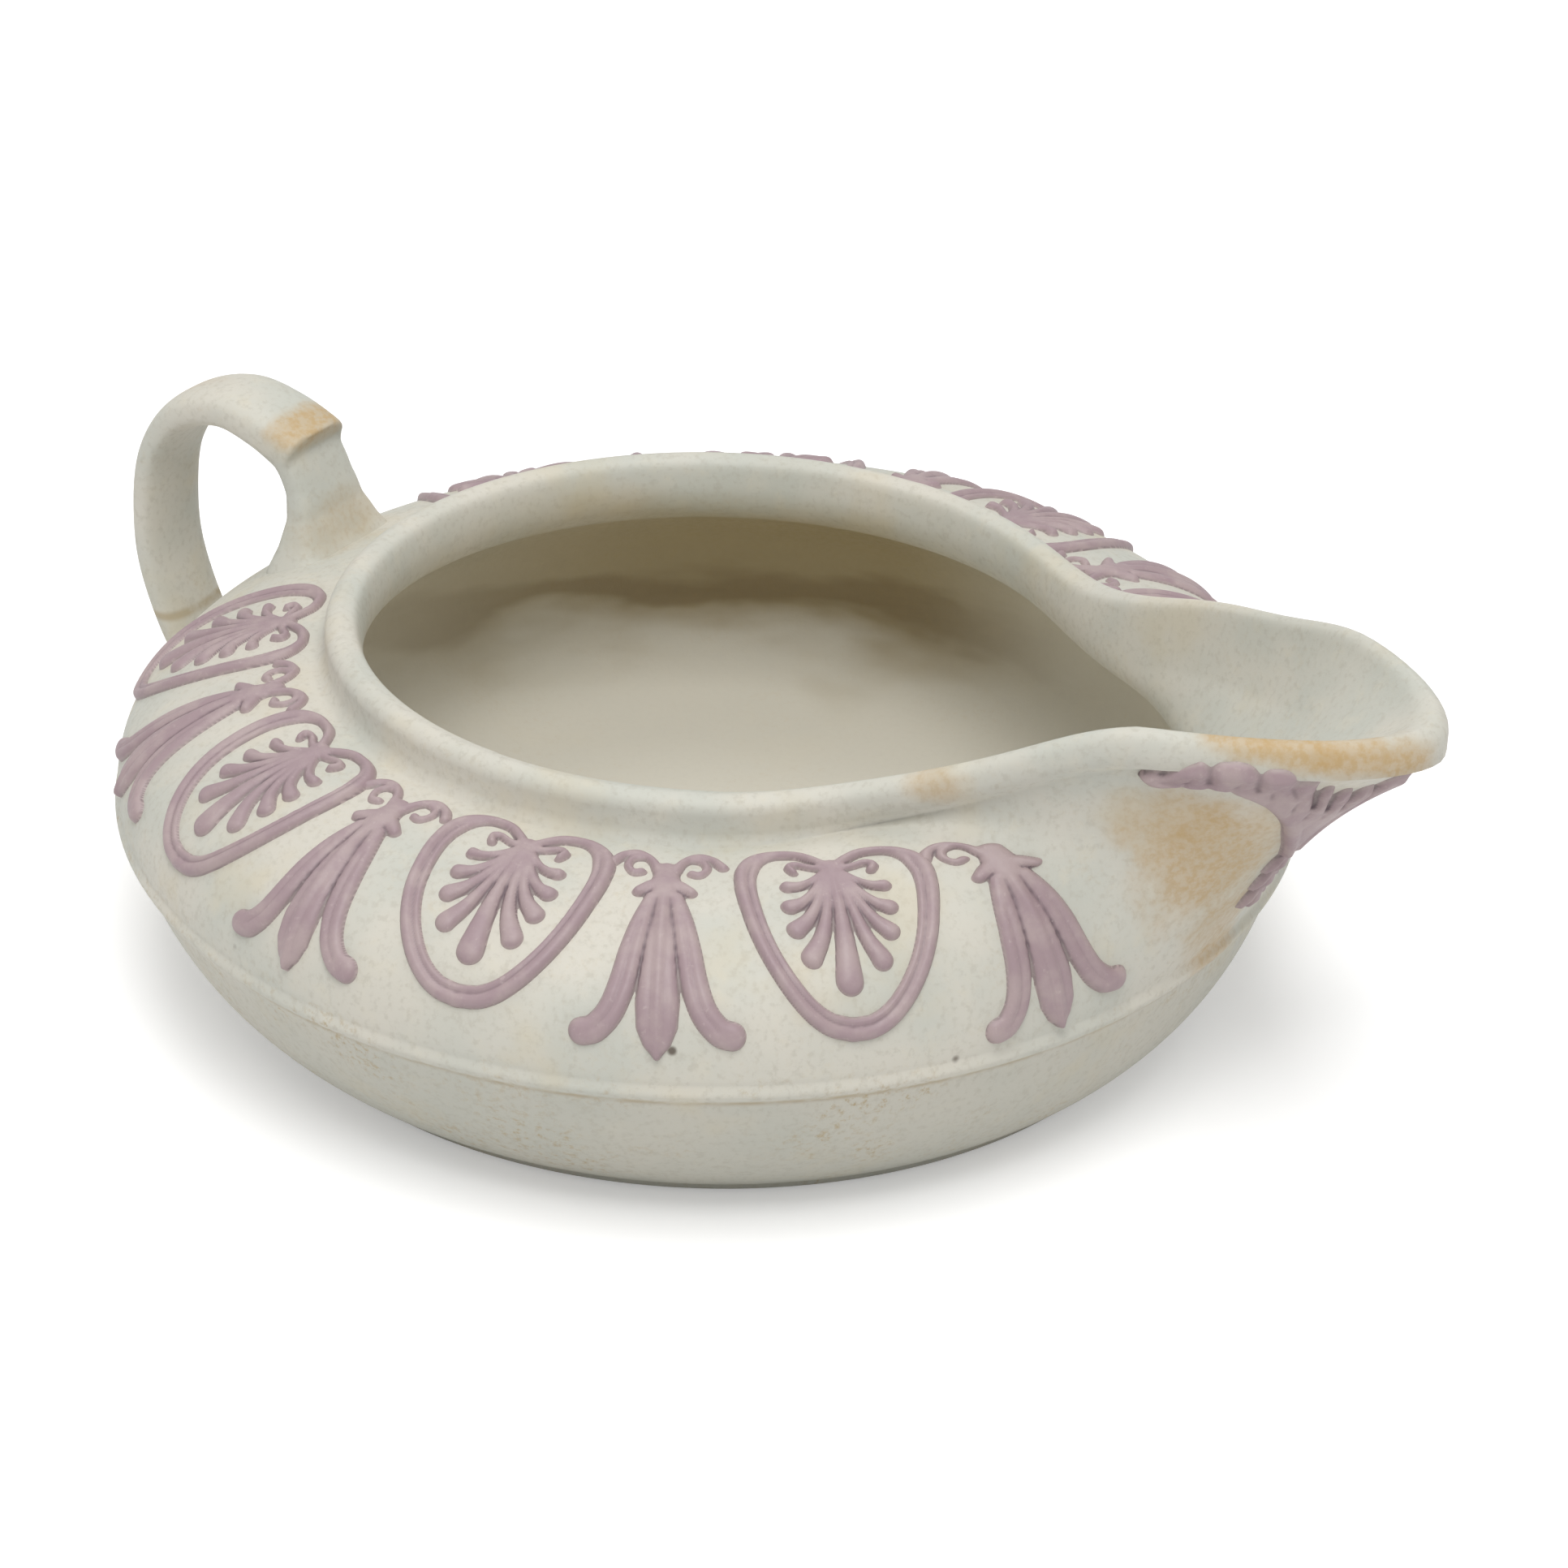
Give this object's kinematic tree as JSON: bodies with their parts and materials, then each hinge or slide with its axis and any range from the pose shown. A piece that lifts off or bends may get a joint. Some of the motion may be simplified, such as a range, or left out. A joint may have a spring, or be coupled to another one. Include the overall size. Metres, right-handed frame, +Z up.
{
  "type": "cream jug",
  "caption": "Squat antique-lamp cream jug of dry-bodied stoneware, with a pulled spout, a looped strap handle and applied relief sprigs round the shoulder.",
  "frame": {"origin": "centre of the foot, on the plane that the jug stands on", "axes": "+Z up out of the mouth, +X towards the spout, -X towards the handle, +Y to the jug's left"},
  "size_m": [0.146, 0.1154, 0.0476],
  "materials": {
    "stoneware": "dry matt stoneware with a faint sheen and fine ochre speckle",
    "lilac_relief": "dry matt lilac stoneware relief"
  },
  "bodies": {
    "root": {"vessel_body": "stoneware", "handle": "stoneware", "bellflower_left_1": "lilac_relief", "palmette_left_1": "lilac_relief", "bellflower_left_2": "lilac_relief", "palmette_left_2": "lilac_relief", "bellflower_left_3": "lilac_relief", "palmette_left_3": "lilac_relief", "bellflower_left_4": "lilac_relief", "palmette_left_4": "lilac_relief", "bellflower_right_1": "lilac_relief", "palmette_right_1": "lilac_relief", "bellflower_right_2": "lilac_relief", "palmette_right_2": "lilac_relief", "bellflower_right_3": "lilac_relief", "palmette_right_3": "lilac_relief", "bellflower_right_4": "lilac_relief", "palmette_right_4": "lilac_relief", "spout_leaf": "lilac_relief"}
  },
  "joints": []
}
